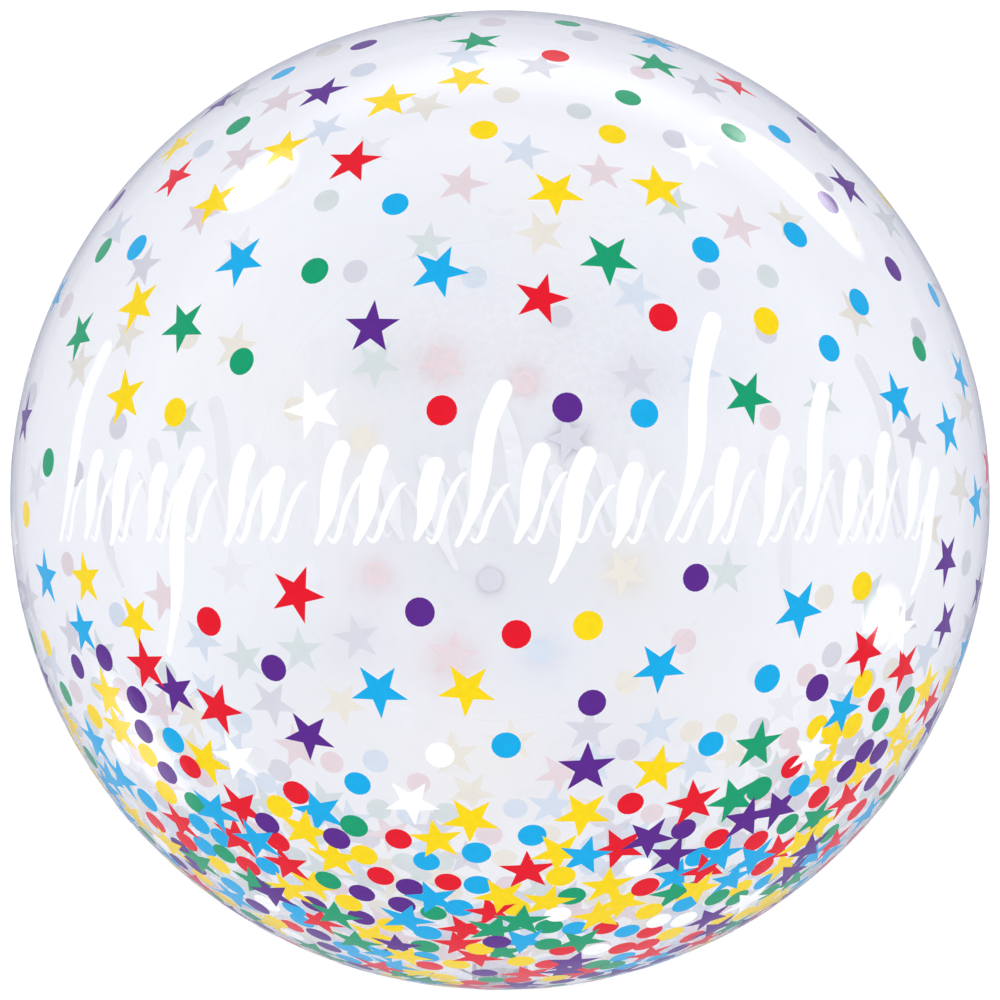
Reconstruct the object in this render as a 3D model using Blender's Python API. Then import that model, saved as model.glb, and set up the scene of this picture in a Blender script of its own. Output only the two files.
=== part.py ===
"""A clear bubble balloon, 56 cm across, lying on its back on a level surface.

The front of the balloon faces up, its crown points to +Y and its neck to -Y, a little below the
horizontal. The balloon is one sealed skin of film: the ball, the gathered neck and the flat filling
tail, which is folded down against the ball. It is modelled as one solid. The origin is the middle of
the flat spot that it rests on.
"""

import math

import bmesh
import bpy
from mathutils import Vector

# Driving dimensions, in metres and radians
BALLOON_DIAMETER = 0.56
REST_SPOT_RADIUS = 0.03  # where the floor presses the film flat
NECK_DROP = math.radians(8.0)  # how far the neck points below the horizontal
NECK_RISE = 0.002  # from the ball to where the tail begins to fold
NECK_FOLD_RADIUS = 0.004  # of the fold's middle line
TAIL_WIDTH = 0.032  # lay-flat width of the filling tail
TAIL_THICKNESS = 0.0012  # both sheets of film and the valve between them
TAIL_LENGTH = 0.07  # from the fold to the open end
TAIL_LEAN = math.radians(12.0)  # how far the tail leans in towards the ball
WELD_MARGIN = 0.0025  # along both edges of the tail, where its sheets are welded
PLEAT_COUNT = 12  # gathers that run from the neck up the ball
PLEAT_DEPTH = 0.0015
PLEAT_REACH = 0.055

# How finely the skin is divided
POINTS_PER_PLEAT = 6
RINGS_ON_BALL = 30
RINGS_ON_PLEATS = 7
RINGS_ON_RISE = 3
RINGS_ON_FOLD = 6
RINGS_ON_TAIL = 6
SMOOTH_EDGE = math.radians(35.0)

FILM_COLOUR = (0.90, 0.91, 0.95, 1.0)
FILM_ROUGHNESS = 0.04
FILM_IOR = 1.5

# Sizes that follow from those above
BALLOON_RADIUS = BALLOON_DIAMETER / 2
CENTRE_HEIGHT = math.sqrt(BALLOON_RADIUS**2 - REST_SPOT_RADIUS**2)
MOUTH_RADIUS = TAIL_WIDTH / math.pi  # the tail's girth, opened out into a circle
MOUTH_ANGLE = math.asin(MOUTH_RADIUS / BALLOON_RADIUS)
MOUTH_HEIGHT = BALLOON_RADIUS * math.cos(MOUTH_ANGLE)  # from the ball's centre
PLEAT_ANGLE = PLEAT_REACH / BALLOON_RADIUS
FOLD_ANGLE = math.pi / 2 - NECK_DROP + TAIL_LEAN
FOLD_LENGTH = NECK_FOLD_RADIUS * FOLD_ANGLE
RING_POINTS = PLEAT_COUNT * POINTS_PER_PLEAT

# The balloon's own directions: across it, out of its neck, and towards the printed front
CENTRE = Vector((0.0, 0.0, CENTRE_HEIGHT))
ACROSS = Vector((1.0, 0.0, 0.0))
OUT = Vector((0.0, -math.cos(NECK_DROP), -math.sin(NECK_DROP)))
FRONT = Vector((0.0, -math.sin(NECK_DROP), math.cos(NECK_DROP)))


def clear_scene():
    """Removes whatever the file opened with."""
    for old in list(bpy.data.objects):
        bpy.data.objects.remove(old, do_unlink=True)


def mix(a, b, share):
    """The value that lies share of the way from a to b."""
    return a + (b - a) * share


def ease(share):
    """A smooth step from 0 to 1, held at both ends."""
    share = max(0.0, min(1.0, share))
    return share * share * (3.0 - 2.0 * share)


def turns():
    """The angle of each point of a ring about the neck's axis."""
    return [2.0 * math.pi * i / RING_POINTS for i in range(RING_POINTS)]


def ball_angles():
    """The angle from the crown of each ring on the ball. The rings are closer where the pleats run."""
    last = math.pi - MOUTH_ANGLE
    first_pleated = last - PLEAT_ANGLE
    smooth = [first_pleated * (i + 1) / RINGS_ON_BALL for i in range(RINGS_ON_BALL)]
    pleated = [
        mix(first_pleated, last, (i + 1) / RINGS_ON_PLEATS) for i in range(RINGS_ON_PLEATS)
    ]
    return smooth + pleated


def pleat_depth(angle, turn):
    """How far a gather draws the film in, deepest at the neck."""
    away = (math.pi - MOUTH_ANGLE - angle) / PLEAT_ANGLE
    crease = 0.5 - 0.5 * math.cos(PLEAT_COUNT * turn)
    return PLEAT_DEPTH * crease * (1.0 - ease(away))


def ball_ring(angle):
    """One ring of points round the ball."""
    ring = []
    for turn in turns():
        radius = BALLOON_RADIUS - pleat_depth(angle, turn)
        ring.append(
            CENTRE
            + ACROSS * (radius * math.sin(angle) * math.cos(turn))
            + FRONT * (radius * math.sin(angle) * math.sin(turn))
            - OUT * (radius * math.cos(angle))
        )
    return ring


def tail_place(distance):
    """The middle of the neck or tail this far from the mouth, and the way its front sheet faces."""
    start = CENTRE + OUT * MOUTH_HEIGHT
    if distance <= NECK_RISE:
        return start + OUT * distance, FRONT
    turned = min(1.0, (distance - NECK_RISE) / FOLD_LENGTH) * FOLD_ANGLE
    facing = FRONT * math.cos(turned) + OUT * math.sin(turned)
    hinge = start + OUT * NECK_RISE - FRONT * NECK_FOLD_RADIUS
    hanging = max(0.0, distance - NECK_RISE - FOLD_LENGTH)
    down = OUT * math.cos(turned) - FRONT * math.sin(turned)
    return hinge + facing * NECK_FOLD_RADIUS + down * hanging, facing


def half_thickness(distance):
    """Half the neck's or tail's thickness: the mouth is round, the fold is pinched and the tail is flat."""
    flat = TAIL_THICKNESS / 2
    pinched = mix(flat, NECK_FOLD_RADIUS, 0.5)
    if distance < NECK_RISE:
        return mix(MOUTH_RADIUS, pinched, ease(distance / NECK_RISE))
    return mix(pinched, flat, ease(2.0 * (distance - NECK_RISE) / FOLD_LENGTH))


def strip_point(index, half_width, half_thick):
    """A point of the flat strip's section, across it and out of its middle.

    Two level sheets meet in thin welded edges, which are points 0 and half way round.
    """
    half_way = RING_POINTS // 2
    if index % half_way == 0:
        return (half_width if index == 0 else -half_width), 0.0
    step = index if index < half_way else RING_POINTS - index
    level = half_width - WELD_MARGIN
    across = mix(level, -level, (step - 1) / (half_way - 2))
    return across, (half_thick if index < half_way else -half_thick)


def tail_ring(distance):
    """One ring of points round the neck or tail, from the round mouth to a flat strip."""
    middle, facing = tail_place(distance)
    folded = NECK_RISE + FOLD_LENGTH
    flatness = ease(distance / folded)
    half_width = mix(MOUTH_RADIUS, TAIL_WIDTH / 2, ease(distance / (folded + TAIL_WIDTH)))
    half_thick = half_thickness(distance)
    ring = []
    for index, turn in enumerate(turns()):
        across, out = strip_point(index, half_width, half_thick)
        across = mix(half_width * math.cos(turn), across, flatness)
        out = mix(half_thick * math.sin(turn), out, flatness)
        ring.append(middle + ACROSS * across + facing * out)
    return ring


def tail_distances():
    """How far from the mouth each ring of the neck and tail lies."""
    rise = [NECK_RISE * (i + 1) / RINGS_ON_RISE for i in range(RINGS_ON_RISE)]
    fold = [NECK_RISE + FOLD_LENGTH * (i + 1) / RINGS_ON_FOLD for i in range(RINGS_ON_FOLD)]
    folded = NECK_RISE + FOLD_LENGTH
    tail = [folded + TAIL_LENGTH * (i + 1) / RINGS_ON_TAIL for i in range(RINGS_ON_TAIL)]
    return rise + fold + tail


def skin_rings():
    """Every ring of the skin, from the crown to the end of the tail."""
    return [ball_ring(a) for a in ball_angles()] + [tail_ring(d) for d in tail_distances()]


def press_flat_spot(skin):
    """Cuts the ball at the level of the floor and closes it with a flat face."""
    everything = skin.verts[:] + skin.edges[:] + skin.faces[:]
    cut = bmesh.ops.bisect_plane(
        skin,
        geom=everything,
        plane_co=(0.0, 0.0, 0.0),
        plane_no=(0.0, 0.0, 1.0),
        clear_inner=True,
    )
    rim = [e for e in cut["geom_cut"] if isinstance(e, bmesh.types.BMEdge)]
    bmesh.ops.contextual_create(skin, geom=rim)


def balloon_mesh():
    """The whole skin as one closed mesh."""
    skin = bmesh.new()
    crown = skin.verts.new(CENTRE - OUT * BALLOON_RADIUS)
    rings = [[skin.verts.new(point) for point in ring] for ring in skin_rings()]
    pairs = [(i, (i + 1) % RING_POINTS) for i in range(RING_POINTS)]
    for i, j in pairs:
        skin.faces.new((crown, rings[0][i], rings[0][j]))
    for upper, lower in zip(rings, rings[1:]):
        for i, j in pairs:
            skin.faces.new((upper[i], lower[i], lower[j], upper[j]))
    skin.faces.new(rings[-1])
    press_flat_spot(skin)
    bmesh.ops.recalc_face_normals(skin, faces=skin.faces)
    mesh = bpy.data.meshes.new("balloon_film")
    skin.to_mesh(mesh)
    skin.free()
    mesh.shade_smooth()
    mesh.set_sharp_from_angle(angle=SMOOTH_EDGE)
    return mesh


def clear_film_material():
    """Clear plastic film with a faint lilac cast."""
    material = bpy.data.materials.new("clear_film")
    material.use_nodes = True
    shader = material.node_tree.nodes["Principled BSDF"]
    shader.inputs["Base Color"].default_value = FILM_COLOUR
    shader.inputs["Roughness"].default_value = FILM_ROUGHNESS
    shader.inputs["Metallic"].default_value = 0.0
    shader.inputs["Transmission Weight"].default_value = 1.0
    shader.inputs["IOR"].default_value = FILM_IOR
    return material


def build():
    """Makes the balloon."""
    clear_scene()
    balloon = bpy.data.objects.new("balloon_film", balloon_mesh())
    balloon.data.materials.append(clear_film_material())
    bpy.context.scene.collection.objects.link(balloon)


build()
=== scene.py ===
"""Dresses the solid of a clear bubble balloon.

The balloon lies on its back, with its print facing up and its neck towards -Y. One closed sheet of
clear film takes the solid's place. The seam, the tail's welds, the valve's film and the printed inks
are laid on it or in it, and everything rides on the balloon.
"""

import math
import random

import bmesh
import bpy
import numpy as np
from bpy.props import FloatProperty, FloatVectorProperty, IntProperty, PointerProperty
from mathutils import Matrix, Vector


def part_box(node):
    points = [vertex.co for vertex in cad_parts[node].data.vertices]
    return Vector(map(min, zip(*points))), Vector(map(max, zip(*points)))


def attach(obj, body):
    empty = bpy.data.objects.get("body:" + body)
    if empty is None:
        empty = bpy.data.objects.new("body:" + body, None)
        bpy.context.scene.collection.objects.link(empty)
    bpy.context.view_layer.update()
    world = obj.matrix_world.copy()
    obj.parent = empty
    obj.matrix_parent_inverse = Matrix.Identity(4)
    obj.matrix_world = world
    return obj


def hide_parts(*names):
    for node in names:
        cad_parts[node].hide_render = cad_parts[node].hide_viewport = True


bl_info = {
    "name": "Clear Bubble Balloon",
    "version": (1, 0, 0),
    "blender": (4, 5, 0),
    "location": "View3D > Sidebar > Balloon",
    "description": "Dresses a balloon's solid in clear film, welds and printed inks",
    "category": "Object",
}

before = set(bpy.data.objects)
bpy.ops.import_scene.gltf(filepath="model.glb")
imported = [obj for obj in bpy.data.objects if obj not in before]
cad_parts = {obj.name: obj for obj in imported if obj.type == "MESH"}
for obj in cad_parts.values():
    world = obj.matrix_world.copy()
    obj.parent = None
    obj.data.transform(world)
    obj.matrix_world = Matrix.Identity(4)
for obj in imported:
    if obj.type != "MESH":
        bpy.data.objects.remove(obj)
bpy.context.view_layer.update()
BODY = "root"
NODE = "balloon_film"

BLACK = (0.0, 0.0, 0.0, 1.0)
WHITE = (1.0, 1.0, 1.0, 1.0)

# The photograph, in its own pixels
PHOTO_SIDE = 1000
PHOTO_MIDDLE = 499.5
PHOTO_BALL_RADIUS = 490.5

# Each ink, and how common it is among the confetti
INKS = {"red": 10, "blue": 10, "green": 9, "yellow": 10, "purple": 10, "white": 3}

# How finely the film is divided
RING_POINTS = 240
RING_TURNS = np.arange(RING_POINTS) * (2.0 * math.pi / RING_POINTS)  # about the neck's axis
BALL_RINGS = 116
PLEAT_RINGS = 30
RISE_RINGS = 5
FOLD_RINGS = 14
TAIL_RINGS = 24
TAIL_WELD_RINGS = 240
VALVE_RINGS = 60
SEAM_POINTS = 361
NIB_THICKNESS = 0.02  # of the flat nib that a ribbon is swept with, where it is 2 wide
STROKE_POINTS = 24
DOT_POINTS = 18

# Where the confetti crowds, on the flat disc that each side was printed on, which is 2 across
DENSE_EDGE = -0.30  # height at which the dense confetti begins, in the middle
DENSE_RISE = 0.20  # how much higher it begins at the sides
DENSE_RISE_WIDTH = 0.5  # distance from the middle at which it has risen
DENSE_FADE = 0.34  # from there down to where it is densest
SIDE_START = 0.42  # distance from the middle at which it starts to thin out
SIDE_FADE = 0.3  # from there to where it is thinnest
SIDE_THINNING = 0.6  # share of it that is missing there

# How the confetti is scattered
TRIES = 16000
CLOSENESS = 0.834  # least distance of neighbours, over the root of the film that each has
LEAST_GAP, MOST_GAP = 0.8, 1.15  # how that distance varies

# How high (or, below zero, how deep) each stroke of a row runs past the short ones, from left to right
STROKE_REACHES = (
    0.75, 0.0, 0.1, 0.0, -1.0, 0.05, 0.0, 0.1, 0.0, 0.0, 0.55, 0.05, -0.35, 0.0, 1.0, 0.0, 0.1, 0.55,
    0.0, 0.1, 0.0, -0.45,
)

# Each highlight: its pixel in the photograph, and its lamp's distance, width, height and radiance
GLOWS = {
    "round_glow": ((258, 178), 0.7, 0.24, 0.24, 12),
    "long_glow": ((796, 178), 0.38, 0.30, 0.13, 12),
    "small_glow": ((883, 615), 0.45, 0.12, 0.16, 8),
    "faint_glow": ((140, 740), 0.4, 0.3, 0.2, 2),
    "top_glow": ((560, 75), 0.8, 2.0, 0.5, 1),
}


def cad_diameter():
    """The ball's width, to the nearest millimetre."""
    low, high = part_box(NODE)
    return round(high[0] - low[0], 3)


def length(name, description, default):
    """A size in metres that a user can change."""
    return FloatProperty(
        name=name, description=description, default=default, unit="LENGTH", precision=5
    )


def angle(name, description, degrees):
    """An angle that a user can change."""
    return FloatProperty(
        name=name, description=description, default=math.radians(degrees), subtype="ANGLE"
    )


def colour(name, description, default):
    """A colour that a user can change, in linear light."""
    return FloatVectorProperty(
        name=name, description=description, default=default, size=3, subtype="COLOR", min=0, max=1
    )


def amount(name, description, default):
    """A plain number that a user can change."""
    return FloatProperty(name=name, description=description, default=default)


class FilmSettings(bpy.types.PropertyGroup):
    """Sizes and colours of the blown-up film. The first ones are the solid's own."""

    diameter: length("Ball diameter", "Across the full balloon", cad_diameter())
    rest_radius: length("Rest spot radius", "Where the floor presses the film flat", 0.03)
    neck_drop: angle("Neck drop", "How far the neck points below the horizontal", 8)
    neck_rise: length("Neck rise", "From the ball to where the tail folds", 0.002)
    fold_radius: length("Fold radius", "Of the fold's middle line", 0.004)
    tail_width: length("Tail width", "Lay-flat width of the filling tail", 0.032)
    tail_thickness: length("Tail thickness", "Both sheets and the valve", 0.0012)
    tail_length: length("Tail length", "From the fold to the open end", 0.07)
    tail_lean: angle("Tail lean", "How far the tail leans in towards the ball", 12)
    pleats: IntProperty(name="Pleats", description="Gathers round the neck", default=12)
    pleat_depth: length("Pleat depth", "At the neck", 0.0015)
    pleat_reach: length("Pleat reach", "How far the gathers run up the ball", 0.055)
    crease_depth: length("Crease depth", "Of the fine creases between the gathers", 0.0004)
    # The crease reach sets how far the painted shade along the creases reaches.
    crease_reach: length("Crease reach", "How far the lines of the creases show on the ball", 0.066)
    inset: length("Inset", "From the solid's face to the film, which leaves room for inks", 0.0004)
    tail_inset: length("Tail inset", "From the solid's face to the tail's film", 0.0001)
    floor_bend: length("Floor bend", "How gently the film bends onto the floor", 0.00012)
    valve_width: length("Valve width", "Of the valve's film", 0.023)
    valve_thickness: length("Valve thickness", "Of both its sheets", 0.00016)
    valve_length: length("Valve length", "How far the valve runs down the tail", 0.0574)
    weld_width: length("Weld width", "Of the seam round the ball", 0.0024)
    weld_height: length("Weld height", "How far the seam stands out", 0.00012)
    weld_lift: length("Weld lift", "From the film to the seam's underside", 0.00001)
    tail_weld_width: length("Tail weld width", "Of the weld along each edge of the tail", 0.0022)
    crimp: length("Crimp", "Height of the steps across the tail's welds", 0.00005)
    tint: colour("Tint", "Film seen square on", (0.917, 0.925, 0.957))
    # The edge tint is the film's lilac deepened into painted shade at its rim, where the film is seen
    # along its face.
    rim_shade_tint: colour("Edge tint", "Film seen along its face", (0.86, 0.865, 0.905))
    # The crease tint is painted shade: darker lines along the creases by the neck.
    crease_shade_tint: colour("Crease tint", "Film that is gathered into the neck", (0.66, 0.67, 0.74))
    roughness: amount("Roughness", "Of the film", 0.0)
    weld_tint: colour("Weld tint", "Film that is welded", (0.93, 0.94, 0.97))
    weld_roughness: amount("Weld roughness", "Of the welds", 0.22)
    valve_tint: colour("Valve tint", "The valve's film", (0.95, 0.96, 0.985))
    valve_roughness: amount("Valve roughness", "Of the valve's film", 0.25)
    frost_refraction: amount("Frosted refraction", "How the welds and the valve bend light", 1.15)
    frost_clearness: amount("Frosted clearness", "Share of light that they let through", 0.7)
    refraction: amount("Refraction", "How it bends light, near 1 as it has parallel faces", 1.01)
    gloss: amount("Gloss", "Index of refraction that gives the gloss of both its faces", 1.7)


class PrintSettings(bpy.types.PropertyGroup):
    """Sizes, numbers and colours of the printed stars, dots and brush strokes."""

    star_radius: length("Star radius", "From a star's middle to its tips", 0.0162)
    star_waist: amount("Star waist", "Inner radius of a star as a share of its outer", 0.39)
    dot_radius: length("Dot radius", "Of a dot", 0.0078)
    spread: amount("Spread", "How much sizes vary either way", 0.06)
    tilt: angle("Tilt", "How far a star typically leans from upright or upside down", 9)
    star_share: amount("Star share", "Share of the sparse confetti that is stars", 0.60)
    dense_share: amount("Dense star share", "Share of the dense confetti that is stars", 0.42)
    sparse: amount("Sparse", "Confetti for each square metre away from the neck", 360.0)
    dense: amount("Dense", "Confetti for each square metre near the neck", 3900.0)
    lift: length("Lift", "From the film to the lowest ink", 0.0001)
    layer: length("Layer", "From one overlapping ink to the next", 0.00006)
    thickness: length("Ink thickness", "Of one ink", 0.00003)
    seam_clearance: length("Seam clearance", "Bare film beside the seam", 0.004)
    neck_clearance: length("Neck clearance", "Bare film round the neck", 0.03)
    stroke_clearance: length("Stroke clearance", "Bare film round the brush strokes", 0.006)
    seed: IntProperty(name="Seed", description="Of the scattered confetti", default=11)
    red: colour("Red", "Ink", (0.78, 0.001, 0.016))
    blue: colour("Blue", "Ink", (0.001, 0.40, 0.775))
    green: colour("Green", "Ink", (0.001, 0.33, 0.146))
    yellow: colour("Yellow", "Ink", (0.94, 0.675, 0.001))
    purple: colour("Purple", "Ink", (0.099, 0.015, 0.25))
    white: colour("White", "Ink", (0.985, 0.985, 0.985))
    backing: colour("Backing", "White ground under every ink, seen from inside", (0.98, 0.975, 0.96))
    show_through: amount("Show-through", "How much ink shows through its white ground", 0.14)
    # Back light and back tint set a painted glow on each ink's back, which stands in for light shining
    # through it.
    painted_back_glow: amount("Back light", "Light from behind that shines through an ink", 0.18)
    painted_glow_tint: amount("Back tint", "How much of its colour an ink gives that light", 0.5)
    gloss: amount("Ink gloss", "Index of refraction that gives the gloss of the inks", 1.25)
    gloss_roughness: amount("Ink gloss roughness", "Of that gloss", 0.05)


class BrushSettings(bpy.types.PropertyGroup):
    """The row of brush strokes round the middle of the print."""

    reach: angle("Reach", "From the row's middle to either end", 58)
    short: length("Short height", "Of the short strokes", 0.046)
    tall: length("Tall height", "How far the tallest strokes rise above the short ones", 0.082)
    deep: length("Deep height", "How far the deepest strokes fall below the short ones", 0.062)
    thick: length("Thick", "Widest part of a stroke", 0.0105)
    thin: length("Thin", "Width of the hairlines", 0.0033)
    slant: angle("Slant", "How far the strokes lean to the right", 17)


class StageSettings(bpy.types.PropertyGroup):
    """Floor, lights and camera."""

    distance: length("Camera distance", "Above the ball's middle", 3.0)
    floor_side: length("Floor side", "Of the square floor", 60.0)
    floor_white: colour("Floor", "Colour of the floor", (0.93, 0.93, 0.93))
    sky: amount("Sky strength", "Of the even light", 1.16)
    sky_tint: colour("Sky", "Colour of the even light", (0.965, 0.975, 1.0))
    table_light: amount("Table light", "Strength of the light that the floor gives off", 0.15)
    table_reach: length("Table reach", "How far out the floor's light is even", 0.5)
    wall: colour("Walls", "Colour of the light above the horizon", (0.845, 0.85, 0.875))
    wall_start: angle("Wall start", "From straight down to where the walls begin", 140)
    wall_full: angle("Wall full", "From straight down to where the walls are dimmest", 105)
    low: colour("Low room", "What the ball mirrors below the horizon", (0.58, 0.59, 0.67))
    low_start: angle("Low start", "From straight down to where the low room begins", 91)
    low_full: angle("Low full", "From straight down to where the low room is darkest", 74)
    dark: colour("Dark patch", "What the ball mirrors near its rim", (0.46, 0.47, 0.55))
    dark_reach: angle("Dark reach", "From the middle of the dark patch to its edge", 37)
    dark_tilt: angle("Dark tilt", "How far the dark patch leans to the back and right", 7)
    core: colour("Dark core", "What the ball mirrors at its very rim", (0.36, 0.37, 0.46))
    core_reach: angle("Core reach", "From the middle of the dark core to its edge", 25)


def film():
    """The film's settings."""
    return bpy.context.scene.balloon_film


def ink_print():
    """The print's settings."""
    return bpy.context.scene.balloon_print


def brush():
    """The brush strokes' settings."""
    return bpy.context.scene.balloon_brush


def stage():
    """The stage's settings."""
    return bpy.context.scene.balloon_stage


def mix(a, b, share):
    """The value that lies share of the way from a to b."""
    return a + (b - a) * share


def ease(share):
    """A smooth step from 0 to 1, held at both ends."""
    share = np.clip(share, 0.0, 1.0)
    return share * share * (3.0 - 2.0 * share)


def unit(arrow):
    """The arrow, made 1 long."""
    return arrow / np.linalg.norm(arrow)


def ball_radius():
    """Radius of the solid's ball."""
    return film().diameter / 2


def ball_centre():
    """The middle of the ball, above the flat spot it rests on."""
    return np.array([0.0, 0.0, math.sqrt(ball_radius() ** 2 - film().rest_radius ** 2)])


def balloon_axes():
    """The balloon's own directions: across it, towards its front, and out of its neck."""
    drop = film().neck_drop
    across = np.array([1.0, 0.0, 0.0])
    front = np.array([0.0, -math.sin(drop), math.cos(drop)])
    out = np.array([0.0, -math.cos(drop), -math.sin(drop)])
    return across, front, out


def mouth_radius():
    """The tail's girth, opened out into a circle."""
    return film().tail_width / math.pi


def mouth_angle():
    """From the neck's axis to the edge of the neck's mouth, seen from the ball's middle."""
    return math.asin(mouth_radius() / (ball_radius() - film().inset))


def crease_depths(away, turn):
    """How far the gathers and the finer creases draw the film in, by distance from the neck."""
    f = film()
    gather = 0.5 - 0.5 * np.cos(f.pleats * turn)
    fine = 0.5 - 0.5 * np.cos(3 * f.pleats * turn + 2.0 * np.sin(2 * turn))
    long = 0.5 - 0.5 * np.cos(f.pleats * turn + 1.3 * np.sin(3 * turn))
    share = away / f.pleat_reach
    return (
        f.pleat_depth * gather * (1.0 - ease(share))
        + f.crease_depth * fine * (1.0 - ease(share / 0.7))
        + f.crease_depth * long * (1.0 - ease(share / 2.2))
    )


def skin_radius(directions):
    """From the ball's middle to the film's outer face, in each direction."""
    f = film()
    across, front, out = balloon_axes()
    full = ball_radius() - f.inset
    from_neck = np.arccos(np.clip(directions @ out, -1.0, 1.0))
    turn = np.arctan2(directions @ front, directions @ across)
    away = np.maximum(0.0, from_neck - mouth_angle()) * full
    ball = full - crease_depths(away, turn)
    fall = np.maximum(1e-6, -directions[..., 2])
    floor = (ball_centre()[2] - f.inset) / fall
    nearer = np.minimum(ball, floor)
    return nearer - f.floor_bend * np.log1p(np.exp(-np.abs(ball - floor) / f.floor_bend))


def ball_rings():
    """Rings of points from the crown to the neck's mouth."""
    across, front, out = balloon_axes()
    last = math.pi - mouth_angle()
    pleated = last - film().pleat_reach / ball_radius()
    angles = [pleated * (i + 1) / BALL_RINGS for i in range(BALL_RINGS)]
    angles += [mix(pleated, last, (i + 1) / PLEAT_RINGS) for i in range(PLEAT_RINGS)]
    sideways = np.outer(np.cos(RING_TURNS), across) + np.outer(np.sin(RING_TURNS), front)
    rings = []
    for from_crown in angles:
        directions = sideways * math.sin(from_crown) - out * math.cos(from_crown)
        rings.append(ball_centre() + directions * skin_radius(directions)[:, None])
    return rings


def fold_angle():
    """How far the tail turns, from the neck's axis to hanging beside the ball."""
    return math.pi / 2 - film().neck_drop + film().tail_lean


def fold_length():
    """Along the middle line of the fold."""
    return film().fold_radius * fold_angle()


def tail_place(distance):
    """The middle of the neck or tail this far from the mouth, and the way its front sheet faces."""
    f = film()
    _, front, out = balloon_axes()
    start = ball_centre() + out * ((ball_radius() - f.inset) * math.cos(mouth_angle()))
    if distance <= f.neck_rise:
        return start + out * distance, front
    turned = min(1.0, (distance - f.neck_rise) / fold_length()) * fold_angle()
    facing = front * math.cos(turned) + out * math.sin(turned)
    hinge = start + out * f.neck_rise - front * f.fold_radius
    hanging = max(0.0, distance - f.neck_rise - fold_length())
    down = out * math.cos(turned) - front * math.sin(turned)
    return hinge + facing * f.fold_radius + down * hanging, facing


def tail_section(distance):
    """The neck's or tail's half width, half thickness and how flat it is, this far from the mouth."""
    f = film()
    flat = f.tail_thickness / 2 - f.tail_inset
    pinched = mix(flat, f.fold_radius, 0.5)
    folded = f.neck_rise + fold_length()
    if distance < f.neck_rise:
        thick = mix(mouth_radius(), pinched, ease(distance / f.neck_rise))
    else:
        thick = mix(pinched, flat, ease(2.0 * (distance - f.neck_rise) / fold_length()))
    wide = mix(mouth_radius(), f.tail_width / 2, ease(distance / (folded + f.tail_width)))
    return wide, thick, ease(distance / folded)


def tail_ring(distance):
    """One ring of points round the neck or tail, from the round mouth to a flat strip."""
    across, _, _ = balloon_axes()
    middle, facing = tail_place(distance)
    wide, thick, flatness = tail_section(distance)
    # The section is a circle where the neck opens, and a strip with round edges where it is flat.
    sine, cosine = np.sin(RING_TURNS), np.cos(RING_TURNS)
    level = mix(cosine, np.arcsin(np.clip(cosine, -1, 1)) / (math.pi / 2), flatness)
    height = np.sign(sine) * np.abs(sine) ** mix(1.0, 0.22, flatness)
    gathered = 1.0 - 0.10 * (1.0 - flatness) * (0.5 - 0.5 * np.cos(film().pleats * RING_TURNS))
    ripple = 0.00012 * np.sin(distance * 260.0 + RING_TURNS * 3.0) * flatness
    return (
        middle
        + np.outer(wide * level * gathered, across)
        + np.outer(thick * height * gathered + ripple * np.abs(height), facing)
    )


def tail_rings():
    """Rings of points from the neck's mouth to the end of the tail."""
    f = film()
    folded = f.neck_rise + fold_length()
    distances = [f.neck_rise * (i + 1) / RISE_RINGS for i in range(RISE_RINGS)]
    distances += [f.neck_rise + fold_length() * (i + 1) / FOLD_RINGS for i in range(FOLD_RINGS)]
    distances += [folded + f.tail_length * (i + 1) / TAIL_RINGS for i in range(TAIL_RINGS)]
    return [tail_ring(distance) for distance in distances]


def tail_weld_rings(side):
    """Rings of points along the weld at one edge of the tail, -1 for the left edge and 1 for the right.

    The weld runs round the edge and is crimped into fine steps.
    """
    f = film()
    across, _, _ = balloon_axes()
    start = f.neck_rise + fold_length()
    rings = []
    for i, distance in enumerate(np.linspace(start, start + f.tail_length, TAIL_WELD_RINGS)):
        middle, facing = tail_place(distance)
        wide, _, _ = tail_section(distance)
        thick = f.tail_thickness / 2 + (f.crimp if i % 4 < 2 else 0.0)
        edge = wide - f.tail_inset
        bend = edge - f.tail_thickness / 3
        near = edge - f.tail_weld_width
        corners = [(near, -thick), (bend, -thick), (edge, 0.0), (bend, thick), (near, thick)]
        rings.append([middle + across * (side * x) + facing * y for x, y in corners])
    return rings


def valve_rings():
    """Rings of points along the valve's film, from the neck down the tail."""
    f = film()
    across, _, _ = balloon_axes()
    folded = f.neck_rise + fold_length()
    rings = []
    for distance in np.linspace(f.neck_rise / 2, folded + f.valve_length, VALVE_RINGS):
        middle, facing = tail_place(distance)
        width = f.valve_width / 2 * mix(0.75, 1.0, ease(distance / folded))
        upper = [(share, f.valve_thickness / 2) for share in (1, 0.33, -0.33, -1)]
        lower = [(share, -height) for share, height in reversed(upper)]
        ripple = 0.0001 * math.sin(distance * 420.0)
        rings.append(
            [middle + across * (width * x) + facing * (y + ripple) for x, y in lower + upper]
        )
    return rings


def linked(name, mesh):
    """An object that holds the mesh, in the scene."""
    made = bpy.data.objects.new(name, mesh)
    bpy.context.scene.collection.objects.link(made)
    return made


def ride(piece):
    """The piece moves with the balloon."""
    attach(piece, BODY)


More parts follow.
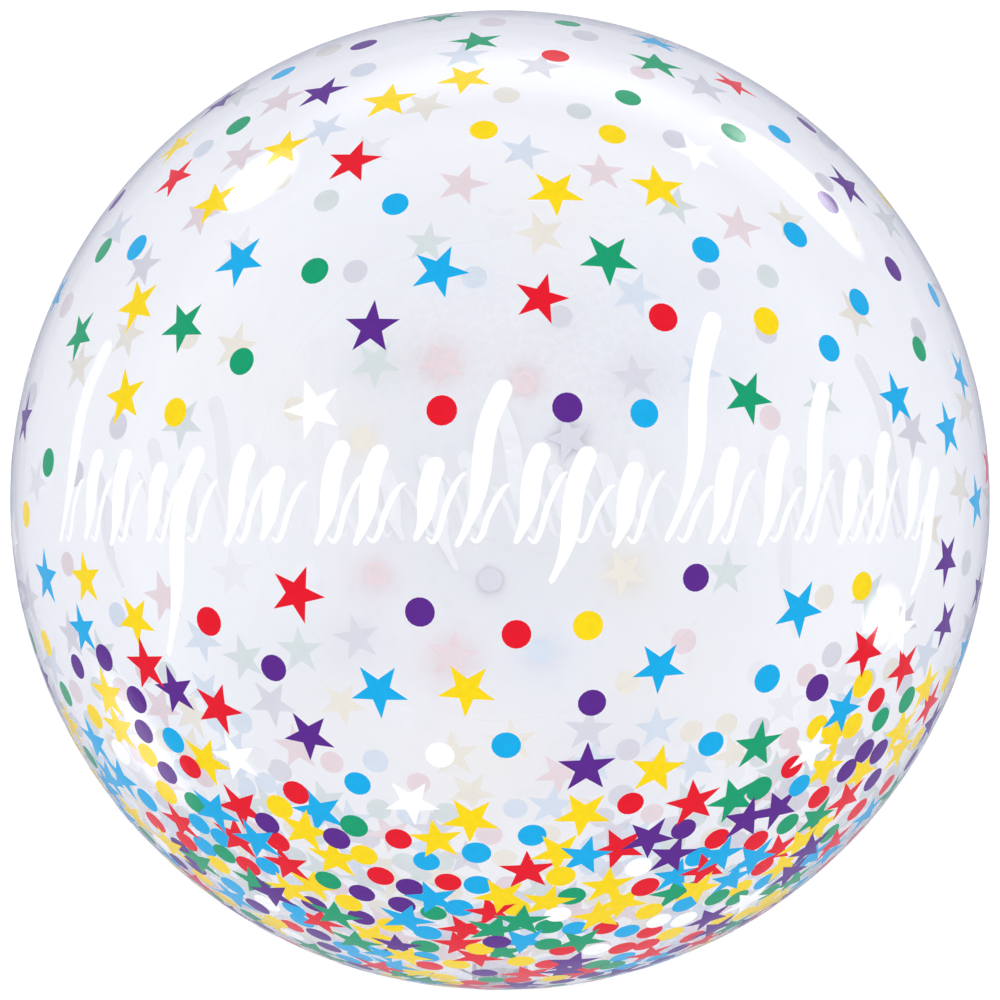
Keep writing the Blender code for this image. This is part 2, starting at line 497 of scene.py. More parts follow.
def tube(name, rings, material, crown=None):
    """A piece through rings of points, closed by a point or a flat face at each end."""
    shape = bmesh.new()
    made = [[shape.verts.new(point) for point in ring] for ring in rings]
    count = len(made[0])
    pairs = [(i, (i + 1) % count) for i in range(count)]
    if crown is None:
        shape.faces.new(list(reversed(made[0])))
    else:
        top = shape.verts.new(crown)
        for i, j in pairs:
            shape.faces.new((top, made[0][i], made[0][j]))
    for upper, lower in zip(made, made[1:]):
        for i, j in pairs:
            shape.faces.new((upper[i], lower[i], lower[j], upper[j]))
    shape.faces.new(made[-1])
    bmesh.ops.recalc_face_normals(shape, faces=shape.faces)
    mesh = bpy.data.meshes.new(name)
    shape.to_mesh(mesh)
    shape.free()
    mesh.shade_smooth()
    mesh.materials.append(material)
    piece = linked(name, mesh)
    ride(piece)
    return piece


def store_gathers(mesh):
    """Each point of the film carries how strongly the gathers crease it, 1 at the neck's mouth."""
    # This value masks the painted shade along the creases.
    f = film()
    _, _, out = balloon_axes()
    away = np.array([point.co for point in mesh.vertices]) - ball_centre()
    along = away @ out
    from_axis = np.linalg.norm(away - np.outer(along, out), axis=1)
    reach = f.crease_reach
    share = np.clip((reach - from_axis) / (reach - mouth_radius()), 0.0, 1.0) ** 1.5
    on_ball = (along > 0.0) & (np.linalg.norm(away, axis=1) < ball_radius())
    mesh.attributes.new("gathered", "FLOAT", "POINT").data.foreach_set("value", share * on_ball)


def carrier(name, points, edges=(), **values):
    """A mesh of loose points or edges that holds a value for each point, for a tree to work on."""
    mesh = bpy.data.meshes.new(name)
    mesh.from_pydata([tuple(p) for p in points], [tuple(e) for e in edges], [])
    for label, numbers in values.items():
        mesh.attributes.new(label, "FLOAT", "POINT").data.foreach_set("value", numbers)
    return linked(name, mesh)


def grow(name, source, tree, material, slot, **changes):
    """Makes a plain piece of what a Geometry Nodes tree lays on the film from the source."""
    p = ink_print()
    inputs = {
        "Skin": bpy.data.objects["film"],
        "Centre": tuple(ball_centre()),
        "Lift": p.lift,
        "Layer Height": p.layer,
        "Thickness": p.thickness,
        "Material": material,
        **changes,
    }
    modifier = source.modifiers.new("grow", "NODES")
    modifier.node_group = tree
    for item in tree.interface.items_tree:
        if item.item_type == "SOCKET" and item.in_out == "INPUT" and item.name in inputs:
            modifier[item.identifier] = inputs[item.name]
    graph = bpy.context.evaluated_depsgraph_get()
    mesh = bpy.data.meshes.new_from_object(
        source.evaluated_get(graph), preserve_all_data_layers=True, depsgraph=graph
    )
    bpy.data.objects.remove(source, do_unlink=True)
    if not mesh.polygons:
        raise RuntimeError(f"{name} came out empty")
    mesh.name = name
    ride(linked(name, mesh))


def fill(tree, node, inputs):
    """Gives a node's inputs values, or links. Another node stands for its first output."""
    for name, value in inputs.items():
        if isinstance(value, bpy.types.Node):
            value = value.outputs[0]
        if isinstance(value, bpy.types.NodeSocket):
            tree.links.new(value, node.inputs[name])
        else:
            node.inputs[name].default_value = value


def add_node(tree, kind, inputs=None, **settings):
    """A node with these inputs and settings."""
    made = tree.nodes.new(kind)
    for name, value in settings.items():
        setattr(made, name, value)
    fill(tree, made, inputs or {})
    return made


def new_tree(name, sockets):
    """A Geometry Nodes tree with these named inputs, its group input, and its interface's output."""
    tree = bpy.data.node_groups.new(name, "GeometryNodeTree")
    tree.interface.new_socket("Geometry", in_out="INPUT", socket_type="NodeSocketGeometry")
    for label, kind in sockets.items():
        tree.interface.new_socket(label, in_out="INPUT", socket_type="NodeSocket" + kind)
    tree.interface.new_socket("Geometry", in_out="OUTPUT", socket_type="NodeSocketGeometry")
    return tree, tree.nodes.new("NodeGroupInput").outputs


def maths(tree, operation, *inputs):
    """A Math node."""
    return add_node(tree, "ShaderNodeMath", dict(enumerate(inputs)), operation=operation)


def vectors(tree, operation, *inputs):
    """The result of a Vector Math node."""
    made = add_node(tree, "ShaderNodeVectorMath", dict(enumerate(inputs)), operation=operation)
    return made.outputs["Value" if operation in {"LENGTH", "DOT_PRODUCT"} else "Vector"]


def ramp(tree, value, low, high, to_low=0.0, to_high=1.0):
    """The value's range stretched onto another."""
    ranges = {"From Min": low, "From Max": high, "To Min": to_low, "To Max": to_high}
    return add_node(tree, "ShaderNodeMapRange", {"Value": value, **ranges})


def named(tree, label):
    """The value that each point carries under this name."""
    return add_node(tree, "GeometryNodeInputNamedAttribute", {"Name": label}, data_type="FLOAT")


def outward(tree, centre):
    """The direction of each point from the ball's middle."""
    place = tree.nodes.new("GeometryNodeInputPosition")
    return vectors(tree, "NORMALIZE", vectors(tree, "SUBTRACT", place, centre))


LAY_SOCKETS = {
    "Skin": "Object",
    "Centre": "Vector",
    "Lift": "Float",
    "Layer Height": "Float",
    "Thickness": "Float",
    "Material": "Material",
}


def lay_on_skin(tree, geometry, given):
    """Nodes that lay flat ink on the film.

    Each point goes out along its own direction to the skin, then up by the lift, by its layer, and by
    the ink's thickness where its value named top is 1.
    """
    direction = outward(tree, given["Centre"])
    skin = add_node(tree, "GeometryNodeObjectInfo", {"Object": given["Skin"]})
    ray = {
        "Target Geometry": skin.outputs["Geometry"],
        "Source Position": given["Centre"],
        "Ray Direction": direction,
        "Ray Length": 1.0,
    }
    hit = add_node(tree, "GeometryNodeRaycast", ray).outputs["Hit Position"]
    layers = maths(tree, "MULTIPLY_ADD", named(tree, "layer"), given["Layer Height"], given["Lift"])
    height = maths(tree, "MULTIPLY_ADD", named(tree, "top"), given["Thickness"], layers)
    place = vectors(tree, "MULTIPLY_ADD", direction, height, hit)
    laid = add_node(tree, "GeometryNodeSetPosition", {"Geometry": geometry, "Position": place})
    finish = {"Geometry": laid, "Material": given["Material"]}
    coated = add_node(tree, "GeometryNodeSetMaterial", finish)
    add_node(tree, "NodeGroupOutput", {0: coated})


def confetti_tree():
    """Nodes that print one shape at every point of a carrier, turned and sized as its point says."""
    tree, given = new_tree("print_confetti", {"Shape": "Object", **LAY_SOCKETS})
    shape = add_node(tree, "GeometryNodeObjectInfo", {"Object": given["Shape"]})
    align = "FunctionNodeAlignRotationToVector"
    upright = add_node(tree, align, {"Vector": outward(tree, given["Centre"])}, axis="Z")
    crownward = {"Rotation": upright, "Vector": (0, 1, 0)}
    level = add_node(tree, align, crownward, axis="Y", pivot_axis="Z")
    spin = {"Axis": (0, 0, 1), "Angle": named(tree, "spin")}
    turn = {"Rotation": level, "Rotate By": add_node(tree, "FunctionNodeAxisAngleToRotation", spin)}
    placing = {
        "Points": given["Geometry"],
        "Instance": shape.outputs["Geometry"],
        "Rotation": add_node(tree, "FunctionNodeRotateRotation", turn, rotation_space="LOCAL"),
        "Scale": named(tree, "size"),
    }
    copies = add_node(tree, "GeometryNodeInstanceOnPoints", placing)
    lay_on_skin(tree, add_node(tree, "GeometryNodeRealizeInstances", {0: copies}), given)
    return tree


def ribbon_tree():
    """Nodes that sweep a flat nib along the edges of a carrier, as wide as its points say."""
    tree, given = new_tree("draw_ribbons", LAY_SOCKETS)
    path = add_node(tree, "GeometryNodeMeshToCurve", {0: given["Geometry"]})
    outwards = {0: path, "Normal": outward(tree, given["Centre"])}
    size = {"Width": NIB_THICKNESS, "Height": 2.0}
    corners = add_node(tree, "GeometryNodeCurvePrimitiveQuadrilateral", size)
    nib = add_node(tree, "GeometryNodeSubdivideCurve", {0: corners, "Cuts": 1})
    across = add_node(tree, "ShaderNodeSeparateXYZ", {0: tree.nodes.new("GeometryNodeInputPosition")})
    upper = ramp(tree, across, -NIB_THICKNESS / 2, NIB_THICKNESS / 2)
    top = {"Geometry": nib, "Name": "top", "Value": upper}
    sweep = {
        "Curve": add_node(tree, "GeometryNodeSetCurveNormal", outwards, mode="FREE"),
        "Profile Curve": add_node(
            tree, "GeometryNodeStoreNamedAttribute", top, data_type="FLOAT", domain="POINT"
        ),
        "Scale": named(tree, "half_width"),
        "Fill Caps": True,
    }
    swept = add_node(tree, "GeometryNodeCurveToMesh", sweep)
    flat = add_node(tree, "GeometryNodeSetShadeSmooth", {0: swept, "Shade Smooth": False})
    lay_on_skin(tree, add_node(tree, "GeometryNodeRealizeInstances", {0: flat}), given)
    return tree


def slab_mesh(name, points, faces, outline):
    """A thin slab of unit size from the points, faces and outline of its upper side.

    Its upper points carry 1 under the name top, and its lower points 0.
    """
    count = len(points)
    places = [(x, y, 0.0) for x, y in points] * 2
    under = [tuple(i + count for i in reversed(face)) for face in faces]
    wall = [(b, a, a + count, b + count) for a, b in zip(outline, outline[1:] + outline[:1])]
    mesh = bpy.data.meshes.new(name)
    mesh.from_pydata(places, [], faces + under + wall)
    tops = mesh.attributes.new("top", "FLOAT", "POINT")
    tops.data.foreach_set("value", [1.0] * count + [0.0] * count)
    return mesh


def circle(radius, count, start=0.0):
    """Points evenly round a circle."""
    turns = [start + 2.0 * math.pi * i / count for i in range(count)]
    return [np.array([radius * math.cos(t), radius * math.sin(t)]) for t in turns]


def star_mesh():
    """A five-pointed star of unit radius, with a point half way along each edge."""
    tips = circle(1.0, 5, math.pi / 2)
    waists = circle(ink_print().star_waist, 5, math.pi / 2 - math.pi / 5)
    points, faces, outline = [(0.0, 0.0)], [], []
    for i, (waist, tip) in enumerate(zip(waists, tips)):
        points += [waist, (waist + tip) / 2, tip, (tip + waists[(i + 1) % 5]) / 2]
        first, after = 1 + 4 * i, 1 + 4 * ((i + 1) % 5)
        faces += [(0, first, after), (first, first + 3, after)]
        faces += [(first, first + 1, first + 3), (first + 1, first + 2, first + 3)]
        outline += [first, first + 1, first + 2, first + 3]
    return slab_mesh("star", points, faces, outline)


def dot_mesh():
    """A round dot of unit radius, with a ring of points half way out."""
    count = DOT_POINTS
    points = [(0.0, 0.0)] + circle(0.5, count) + circle(1.0, count)
    faces = []
    for i in range(count):
        a, b = 1 + i, 1 + (i + 1) % count
        faces += [(0, a, b), (a, a + count, b), (b, a + count, b + count)]
    return slab_mesh("dot", points, faces, list(range(1 + count, 1 + 2 * count)))


def stroke_path(middle, top, bottom):
    """One slanted stroke with a blunt head and a narrow foot.

    It is given by how far along and up the print it runs, and by its half widths.
    """
    b = brush()
    down = 0.5 - 0.5 * np.cos(math.pi * np.linspace(0.0, 1.0, STROKE_POINTS))
    up = mix(top, bottom, down)
    sway = 0.035 * (top - bottom) * np.sin(2.0 * math.pi * down)
    along = middle + math.tan(b.slant) * up - sway
    head, foot = 0.5 * b.thick / (top - bottom), 0.5 * b.thin / (top - bottom)
    width = mix(b.thick, b.thin, ease((down - 0.5) / 0.5))
    width = width * np.sqrt(np.clip(1.0 - (1.0 - down / head).clip(0.0) ** 2, 0.02, 1.0))
    width = width * np.sqrt(np.clip(1.0 - (1.0 - (1.0 - down) / foot).clip(0.0) ** 2, 0.02, 1.0))
    return along, up, width / 2


def hairline_path(start, end):
    """A hairline that dips a little, then rises from start to end, given in the same way."""
    b = brush()
    share = np.linspace(0.0, 1.0, STROKE_POINTS)
    dip = 0.16 * (end[1] - start[1]) * np.sin(math.pi * np.minimum(1.0, 2.2 * share))
    along = mix(start[0], end[0], share)
    up = mix(start[1], end[1], ease(share)) - dip
    width = b.thin * np.sin(math.pi * share).clip(0.1) ** 0.4
    return along, up, width / 2


def stroke_row():
    """Every stroke and hairline of one row."""
    b = brush()
    count = len(STROKE_REACHES)
    half = b.reach * ball_radius()
    pitch = 2.0 * half / (count - 1)
    low, high = -b.short / 2, b.short / 2
    lean = math.tan(b.slant)
    rows = []
    for i, reach in enumerate(STROKE_REACHES):
        middle = -half + pitch * (i + 0.10 * math.sin(2.9 * i))
        top = high + 0.12 * b.short * math.sin(1.7 * i + 0.6) + max(0.0, reach) * b.tall
        bottom = low + 0.04 * b.short * math.sin(2.3 * i) + min(0.0, reach) * b.deep
        rows.append(stroke_path(middle, top, bottom))
        if i < count - 1:
            start = (middle + lean * low + 0.26 * pitch, mix(low, high, 0.08))
            rise = 0.74 + 0.16 * math.sin(3.1 * i)
            end = (middle + lean * high + 0.50 * pitch, mix(low, high, rise))
            rows.append(hairline_path(start, end))
    return rows


def brush_paths(side):
    """Each path of one side's row, as directions from the ball's middle and half widths.

    The print has two sides, 1 in front and -1 behind. Along and up are lengths on the film from the
    middle of that side, as somebody who faces it reads them.
    """
    paths = []
    for along, up, halves in stroke_row():
        lon, lat = along / ball_radius(), up / ball_radius()
        path = [side * np.sin(lon) * np.cos(lat), np.sin(lat), side * np.cos(lon) * np.cos(lat)]
        paths.append((np.stack(path, axis=-1), halves))
    return paths


def crowding(side, place):
    """How many motifs belong on each square metre, more towards the neck and less at the sides.

    It is worked out on the flat disc that this side was printed on, before it was blown up.
    """
    p = ink_print()
    from_middle = np.arccos(np.clip(place[2] * side, -1.0, 1.0)) / (math.pi / 2)
    share = from_middle / np.maximum(np.hypot(place[0], place[1]), 1e-9)
    across, up = place[0] * side * share, place[1] * share
    wide = np.minimum(np.abs(across) / DENSE_RISE_WIDTH, 1.0)
    edge = DENSE_EDGE + DENSE_RISE * wide ** 2
    low = ease((edge - up) / DENSE_FADE)
    sides = 1.0 - SIDE_THINNING * ease((np.abs(across) - SIDE_START) / SIDE_FADE)
    return p.sparse + (p.dense - p.sparse) * low * sides


def scatter(side, strokes, chance):
    """Places for the confetti of one side: as directions, each clear of the strokes and the seam."""
    p = ink_print()
    _, front, out = balloon_axes()
    radius = ball_radius()
    kept, gaps = [], []
    for _ in range(TRIES):
        height, turn = chance.random(), 2.0 * math.pi * chance.random()
        flat = math.sqrt(1.0 - height * height)
        place = np.array([flat * math.cos(turn), flat * math.sin(turn), side * height])
        gap = CLOSENESS / math.sqrt(crowding(side, place)) * chance.uniform(LEAST_GAP, MOST_GAP)
        reach = p.star_radius
        from_seam = abs(math.asin(float(place @ front))) * radius
        from_neck = math.acos(float(place @ out)) * radius
        if from_seam < p.seam_clearance + reach or from_neck < p.neck_clearance + reach:
            continue
        if np.linalg.norm(strokes - place, axis=1).min() * radius < reach * 0.8 + p.stroke_clearance:
            continue
        if kept and (np.linalg.norm(np.array(kept) - place, axis=1) * radius < np.array(gaps)).any():
            continue
        kept.append(place)
        gaps.append(gap)
    return kept


def confetti():
    """Every star and dot of the print: its kind, ink, place, size, spin and layer."""
    p = ink_print()
    chance = random.Random(p.seed)
    motifs = []
    for side in (1, -1):
        strokes = np.concatenate([path for path, _ in brush_paths(side)])
        for place in scatter(side, strokes, chance):
            crowd = (crowding(side, place) - p.sparse) / (p.dense - p.sparse)
            kind = "stars" if chance.random() < mix(p.star_share, p.dense_share, crowd) else "dots"
            full = p.star_radius if kind == "stars" else p.dot_radius
            size = full * chance.uniform(1 - p.spread, 1 + p.spread)
            ink = chance.choices(list(INKS), list(INKS.values()))[0]
            spin = chance.choice((0.0, math.pi / 5)) + chance.gauss(0.0, p.tilt)
            motifs.append({"kind": kind, "size": size, "ink": ink, "place": place, "spin": spin})
    places = np.array([m["place"] for m in motifs]) * ball_radius()
    sizes = np.array([m["size"] for m in motifs])
    layers = np.full(len(motifs), -1)
    for i, motif in enumerate(motifs):
        near = np.linalg.norm(places - places[i], axis=1) < sizes + sizes[i]
        taken = set(layers[near])
        layers[i] = next(n for n in range(len(motifs)) if n not in taken)
        motif["layer"] = float(layers[i])
    return motifs


def shader(name):
    """A new material, its tree and its Principled shader."""
    material = bpy.data.materials.new(name)
    material.use_nodes = True
    return material, material.node_tree, material.node_tree.nodes["Principled BSDF"]


def noise(tree, scale, detail):
    """Noise that is fixed to the balloon, at this many lumps to the metre."""
    place = tree.nodes.new("ShaderNodeTexCoord").outputs["Object"]
    inputs = {"Vector": place, "Scale": scale, "Detail": detail}
    return add_node(tree, "ShaderNodeTexNoise", inputs).outputs["Fac"]


def smooth_step(tree, value, zero, one):
    """A smooth step from 0 to 1 as the value goes from the first bound to the second."""
    made = ramp(tree, value, zero, one)
    made.interpolation_type = "SMOOTHSTEP"
    return made


def blend(tree, share, first, second):
    """A mix of two colours."""
    made = add_node(tree, "ShaderNodeMix", {0: share, 6: first, 7: second}, data_type="RGBA")
    return made.outputs[2]


def rgba(values, share=1.0):
    """A colour's three numbers, scaled, with full alpha."""
    return tuple(v * share for v in values) + (1.0,)


def carried(tree, label):
    """The value that each point of the mesh carries under this name."""
    made = add_node(tree, "ShaderNodeAttribute", attribute_name=label, attribute_type="GEOMETRY")
    return made.outputs["Fac"]


def crease_shade_lines(tree):
    """Lines that fan out from the neck over the gathered film, 1 on a line and 0 off it, where painted
    shade darkens the film.
    """
    place = tree.nodes.new("ShaderNodeTexCoord").outputs["Object"]
    away = vectors(tree, "SUBTRACT", place, tuple(ball_centre()))
    across, front = (vectors(tree, "DOT_PRODUCT", away, tuple(a)) for a in balloon_axes()[:2])
    turn = maths(tree, "ARCTAN2", front, across)
    wander = maths(tree, "MULTIPLY", noise(tree, 60.0, 0.0), 1.6)
    pleats = film().pleats
    strongest = 0.0
    for count, sharpness, strength in ((pleats, 5.0, 1.0), (3 * pleats, 9.0, 0.6)):
        wave = maths(tree, "SINE", maths(tree, "MULTIPLY_ADD", turn, count, wander))
        line = maths(tree, "POWER", maths(tree, "ABSOLUTE", wave), sharpness)
        strongest = maths(tree, "MAXIMUM", maths(tree, "MULTIPLY", line, strength), strongest)
    return maths(tree, "MULTIPLY", strongest, carried(tree, "gathered"))


def film_material():
    """Glossy clear film, a little lilac, darkened by painted shade towards its rim and along the
    creases by the neck.
    """
    f = film()
    material, tree, principled = shader("clear_film")
    facing = add_node(tree, "ShaderNodeLayerWeight", {"Blend": 0.5}).outputs["Facing"]
    # The film's tint deepens towards its rim as painted shade.
    clear = blend(tree, ramp(tree, facing, 0.03, 0.9), rgba(f.tint), rgba(f.rim_shade_tint))
    finish = {
        # Painted shade darkens the film along the creases by the neck.
        "Base Color": blend(tree, crease_shade_lines(tree), clear, rgba(f.crease_shade_tint)),
        "Roughness": f.roughness,
        "IOR": f.refraction,
        "Transmission Weight": 1.0,
        "Coat Weight": 1.0,
        "Coat IOR": f.gloss,
        "Coat Roughness": f.roughness,
    }
    fill(tree, principled, finish)
    return material


def frosted_material(name, tint, roughness):
    """Milky film that lets light through without a clear view."""
    material, tree, principled = shader(name)
    shade = ramp(tree, noise(tree, 220.0, 3.0), 0.3, 0.7)
    streaks = noise(tree, 900.0, 2.0)
    relief = {"Strength": 0.3, "Distance": 0.0002, "Height": noise(tree, 1400.0, 2.0)}
    finish = {
        "Base Color": blend(tree, shade, rgba(tint), rgba(tint, 0.94)),
        "Roughness": ramp(tree, streaks, 0.3, 0.7, roughness * 0.8, roughness * 1.2),
        "IOR": film().frost_refraction,
        "Transmission Weight": film().frost_clearness,
        "Normal": add_node(tree, "ShaderNodeBump", relief),
    }
    fill(tree, principled, finish)
    return material


def ink_material(name):
    """Opaque printing ink on a white ground. Its face is the ink, and its back the paler ground, which
    also glows with painted light that stands in for light shining through the ink.
    """
    p = ink_print()
    tint = getattr(p, name)
    material, tree, principled = shader("ink_" + name)
    streaks = noise(tree, 260.0, 0.0)
    face = blend(tree, ramp(tree, streaks, 0.35, 0.7), rgba(tint), rgba(tint, 0.96))
    ground = rgba(mix(g, v, p.show_through) for g, v in zip(p.backing, tint))
    painted_glow_colour = rgba(mix(1.0, v, p.painted_glow_tint) for v in tint)
    above = ramp(tree, carried(tree, "top"), 0.9, 1.0)
    finish = {
        "Base Color": blend(tree, above, ground, face),
        # The ink's back glows: painted light in place of light that shines through the ink.
        "Emission Color": blend(tree, above, painted_glow_colour, BLACK),
        "Emission Strength": p.painted_back_glow,
        "Roughness": ramp(tree, streaks, 0.3, 0.7, 0.30, 0.42),
        "Specular IOR Level": 0.0,
        "Coat Weight": 1.0,
        "Coat IOR": p.gloss,
        "Coat Roughness": p.gloss_roughness,
    }
    fill(tree, principled, finish)
    return material


def floor_material():
    """Plain pale floor, which gives off a little light of its own near the balloon."""
    s = stage()
    material, tree, principled = shader("pale_floor")
    place = tree.nodes.new("ShaderNodeTexCoord").outputs["Object"]
    glow = ramp(tree, vectors(tree, "LENGTH", place), s.table_reach, 3.0 * s.table_reach, 1.0, 0.0)
    finish = {
        "Base Color": rgba(s.floor_white),
        "Emission Color": blend(tree, glow, BLACK, WHITE),
        "Emission Strength": s.table_light,
        "Roughness": 0.9,
        "Specular IOR Level": 0.1,
    }
    fill(tree, principled, finish)
    return material


def draw_ribbons(name, paths, material, slot, **changes):
    """Makes a piece of flat ribbons along paths, each a list of directions and half widths."""
    points, edges, widths, layers = [], [], [], []
    for n, (directions, halves) in enumerate(paths):
        first = len(points)
        points += list(ball_centre() + directions * ball_radius())
        edges += [(first + i, first + i + 1) for i in range(len(directions) - 1)]
        widths += list(halves)
        layers += [float(n % 2)] * len(directions)
    source = carrier(name + "_paths", points, edges, half_width=widths, layer=layers)
    grow(name, source, ribbon_tree(), material, slot, **changes)


class BALLOON_OT_film(bpy.types.Operator):
    """Make the blown-up film as one closed surface, with its gathered neck and folded tail"""

    bl_idname = "balloon.film"
    bl_label = "Film"

    def execute(self, context):
        _, _, out = balloon_axes()
        crown = ball_centre() - out * skin_radius(-out)
        piece = tube("film", ball_rings() + tail_rings(), film_material(), crown)
        store_gathers(piece.data)
        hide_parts(NODE)
        return {"FINISHED"}


class BALLOON_OT_weld(bpy.types.Operator):
    """Make the seam round the ball, and the welds along the tail's edges"""

    bl_idname = "balloon.weld"
    bl_label = "Weld"

    def execute(self, context):
        f = film()
        across, _, out = balloon_axes()
        limit = math.pi - mouth_angle() * 1.2
        turns = np.linspace(-limit, limit, SEAM_POINTS)
        path = np.outer(np.sin(turns), across) - np.outer(np.cos(turns), out)
        material = frosted_material("weld", f.weld_tint, f.weld_roughness)
        heights = {"Lift": f.weld_lift, "Thickness": f.weld_height}
        halves = np.full(len(turns), f.weld_width / 2)
        draw_ribbons("weld_seam", [(path, halves)], material, "weld", **heights)
        for side, label in ((-1, "left"), (1, "right")):
            tube("tail_weld_" + label, tail_weld_rings(side), material)
        return {"FINISHED"}


class BALLOON_OT_valve(bpy.types.Operator):
    """Make the valve's film, sealed inside the tail"""

    bl_idname = "balloon.valve"
    bl_label = "Valve"

    def execute(self, context):
        f = film()
        material = frosted_material("valve_film", f.valve_tint, f.valve_roughness)
        tube("valve_film", valve_rings(), material)
        return {"FINISHED"}


class BALLOON_OT_confetti(bpy.types.Operator):
    """Print the stars and dots, one piece for each shape and ink"""

    bl_idname = "balloon.confetti"
    bl_label = "Confetti"

    def execute(self, context):
        shapes = {"stars": linked("star", star_mesh()), "dots": linked("dot", dot_mesh())}
        tree = confetti_tree()
        motifs = confetti()
        for ink in INKS:
            material = ink_material(ink)
            for kind, shape in shapes.items():
                chosen = [m for m in motifs if m["ink"] == ink and m["kind"] == kind]
                name = f"{kind}_{ink}"
                places = [ball_centre() + m["place"] * ball_radius() for m in chosen]
                values = {label: [m[label] for m in chosen] for label in ("spin", "size", "layer")}
                source = carrier(name + "_places", places, **values)
                grow(name, source, tree, material, "ink_" + ink, Shape=shape)
        for shape in shapes.values():
            bpy.data.objects.remove(shape, do_unlink=True)
        return {"FINISHED"}


class BALLOON_OT_brushwork(bpy.types.Operator):
    """Print the two rows of white brush strokes, in front and behind"""

    bl_idname = "balloon.brushwork"
    bl_label = "Brush strokes"

    def execute(self, context):
        material = bpy.data.materials["ink_white"]
        for side, label in ((1, "front"), (-1, "back")):
            draw_ribbons("brush_strokes_" + label, brush_paths(side), material, "ink_white")
        return {"FINISHED"}


def photo_ray(place):
    """Where the camera's ray through a pixel meets the ball, and the direction it is mirrored in."""
    eye = ball_centre() + np.array([0.0, 0.0, stage().distance])
    widest = math.tan(math.asin(ball_radius() / stage().distance))
    scale = widest / PHOTO_BALL_RADIUS
    slope = np.array([(place[0] - PHOTO_MIDDLE) * scale, (PHOTO_MIDDLE - place[1]) * scale, -1.0])
    ray = unit(slope)
    to_eye = eye - ball_centre()
    along = ray @ to_eye
    reach = -along - math.sqrt(max(0.0, along ** 2 - to_eye @ to_eye + ball_radius() ** 2))
    point = eye + ray * reach
    normal = unit(point - ball_centre())
    return point, ray - 2.0 * (ray @ normal) * normal


def add_glow(name, place, distance, width, height, radiance):
    """A soft-edged lamp that shows only as a highlight, at a pixel of the photograph."""
    point, mirrored = photo_ray(place)
    lamp = bpy.data.lights.new(name, "AREA")
    lamp.shape = "RECTANGLE"
    lamp.size, lamp.size_y = width, height
    lamp.energy = radiance * math.pi * width * height
    lamp.use_nodes = True
    tree = lamp.node_tree
    place_on = tree.nodes.new("ShaderNodeNewGeometry").outputs["Parametric"]
    from_middle = vectors(tree, "LENGTH", vectors(tree, "SUBTRACT", place_on, (0.5, 0.5, 0.0)))
    fill(tree, tree.nodes["Emission"], {"Strength": smooth_step(tree, from_middle, 0.5, 0.1)})
    made = bpy.data.objects.new(name, lamp)
    bpy.context.scene.collection.objects.link(made)
    made.location = point + mirrored * distance
    made.rotation_euler = Vector(mirrored).to_track_quat("Z", "Y").to_euler()
    made.visible_camera = False
    made.visible_diffuse = False
    made.visible_transmission = False


def add_world():
    """An even white room, dimmer at its walls, with darker patches below that only gloss can see."""
    s = stage()
    world = bpy.data.worlds.new("white_room")
    world.use_nodes = True
    tree = world.node_tree
    look = tree.nodes.new("ShaderNodeTexCoord").outputs["Generated"]
    side = math.sin(s.dark_tilt) * math.sqrt(0.5)
    leaning = (side, side, -math.cos(s.dark_tilt))
    below = (0.0, 0.0, -1.0)
    soft = math.radians(3.0)
    crisp = math.radians(1.5)
    shade = rgba(s.sky_tint)
    for middle, far, near, tint in (
        (below, s.wall_start, s.wall_full, s.wall),
        (below, s.low_start, s.low_full, s.low),
        (leaning, s.dark_reach + soft, s.dark_reach - soft, s.dark),
        (below, s.core_reach + crisp, s.core_reach - crisp, s.core),
    ):
        share = vectors(tree, "DOT_PRODUCT", look, middle)
        patch = smooth_step(tree, share, math.cos(far), math.cos(near))
        shade = blend(tree, patch, shade, rgba(tint))
    fill(tree, tree.nodes["Background"], {"Color": shade, "Strength": s.sky})
    return world


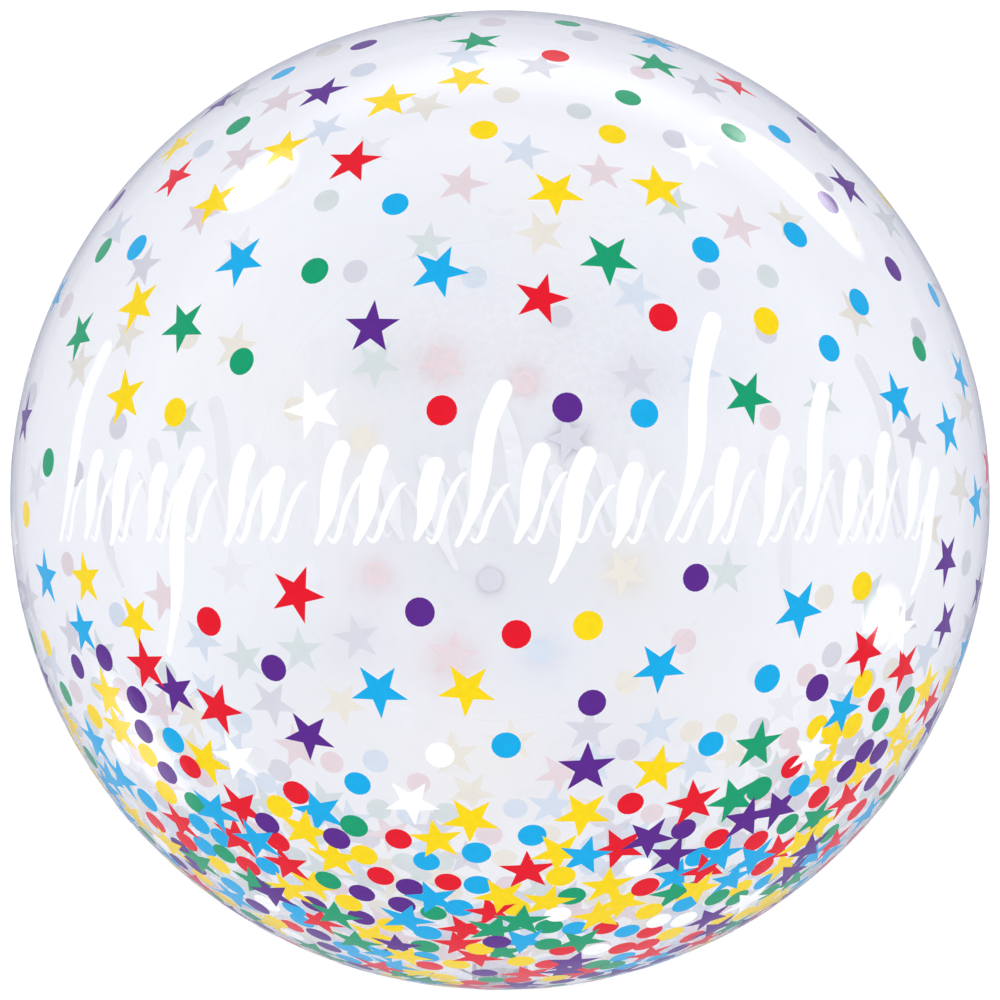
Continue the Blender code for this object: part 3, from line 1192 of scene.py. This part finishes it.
class BALLOON_OT_stage(bpy.types.Operator):
    """Set the pale floor, the soft white light and the camera above the balloon"""

    bl_idname = "balloon.stage"
    bl_label = "Stage"

    def execute(self, context):
        s = stage()
        scene = context.scene
        half = s.floor_side / 2
        mesh = bpy.data.meshes.new("floor")
        corners = [(-half, -half, 0), (half, -half, 0), (half, half, 0), (-half, half, 0)]
        mesh.from_pydata(corners, [], [(0, 1, 2, 3)])
        mesh.materials.append(floor_material())
        floor = linked("floor", mesh)
        floor.visible_glossy = False
        scene.world = add_world()
        scene.view_settings.view_transform = "Standard"
        for name, values in GLOWS.items():
            add_glow(name, *values)
        camera = bpy.data.cameras.new("camera")
        camera.sensor_width = 36.0
        widest = math.tan(math.asin(ball_radius() / s.distance))
        camera.lens = camera.sensor_width * PHOTO_BALL_RADIUS / widest / PHOTO_SIDE
        made = bpy.data.objects.new("camera", camera)
        made.location = ball_centre() + np.array([0.0, 0.0, s.distance])
        scene.collection.objects.link(made)
        scene.camera = made
        return {"FINISHED"}


STEPS = (
    BALLOON_OT_film,
    BALLOON_OT_weld,
    BALLOON_OT_valve,
    BALLOON_OT_confetti,
    BALLOON_OT_brushwork,
    BALLOON_OT_stage,
)


class BALLOON_PT_panel(bpy.types.Panel):
    """Lists the steps and their settings"""

    bl_idname = "BALLOON_PT_panel"
    bl_label = "Clear Bubble Balloon"
    bl_space_type = "VIEW_3D"
    bl_region_type = "UI"
    bl_category = "Balloon"

    def draw(self, context):
        for step in STEPS:
            self.layout.operator(step.bl_idname)
        for label in SETTINGS:
            group = getattr(context.scene, label)
            box = self.layout.box()
            for name in group.__annotations__:
                box.prop(group, name)


SETTINGS = {
    "balloon_film": FilmSettings,
    "balloon_print": PrintSettings,
    "balloon_brush": BrushSettings,
    "balloon_stage": StageSettings,
}


def register():
    """Registers the classes and puts the settings on the scene."""
    for made in (*SETTINGS.values(), *STEPS, BALLOON_PT_panel):
        bpy.utils.register_class(made)
    for label, group in SETTINGS.items():
        setattr(bpy.types.Scene, label, PointerProperty(type=group))


def unregister():
    """Takes the settings off the scene and unregisters the classes."""
    for label in SETTINGS:
        delattr(bpy.types.Scene, label)
    for made in reversed((*SETTINGS.values(), *STEPS, BALLOON_PT_panel)):
        bpy.utils.unregister_class(made)


def main():
    """Makes everything."""
    register()
    for name in (step.bl_idname.split(".")[1] for step in STEPS):
        getattr(bpy.ops.balloon, name)()


if __name__ == "__main__":
    main()
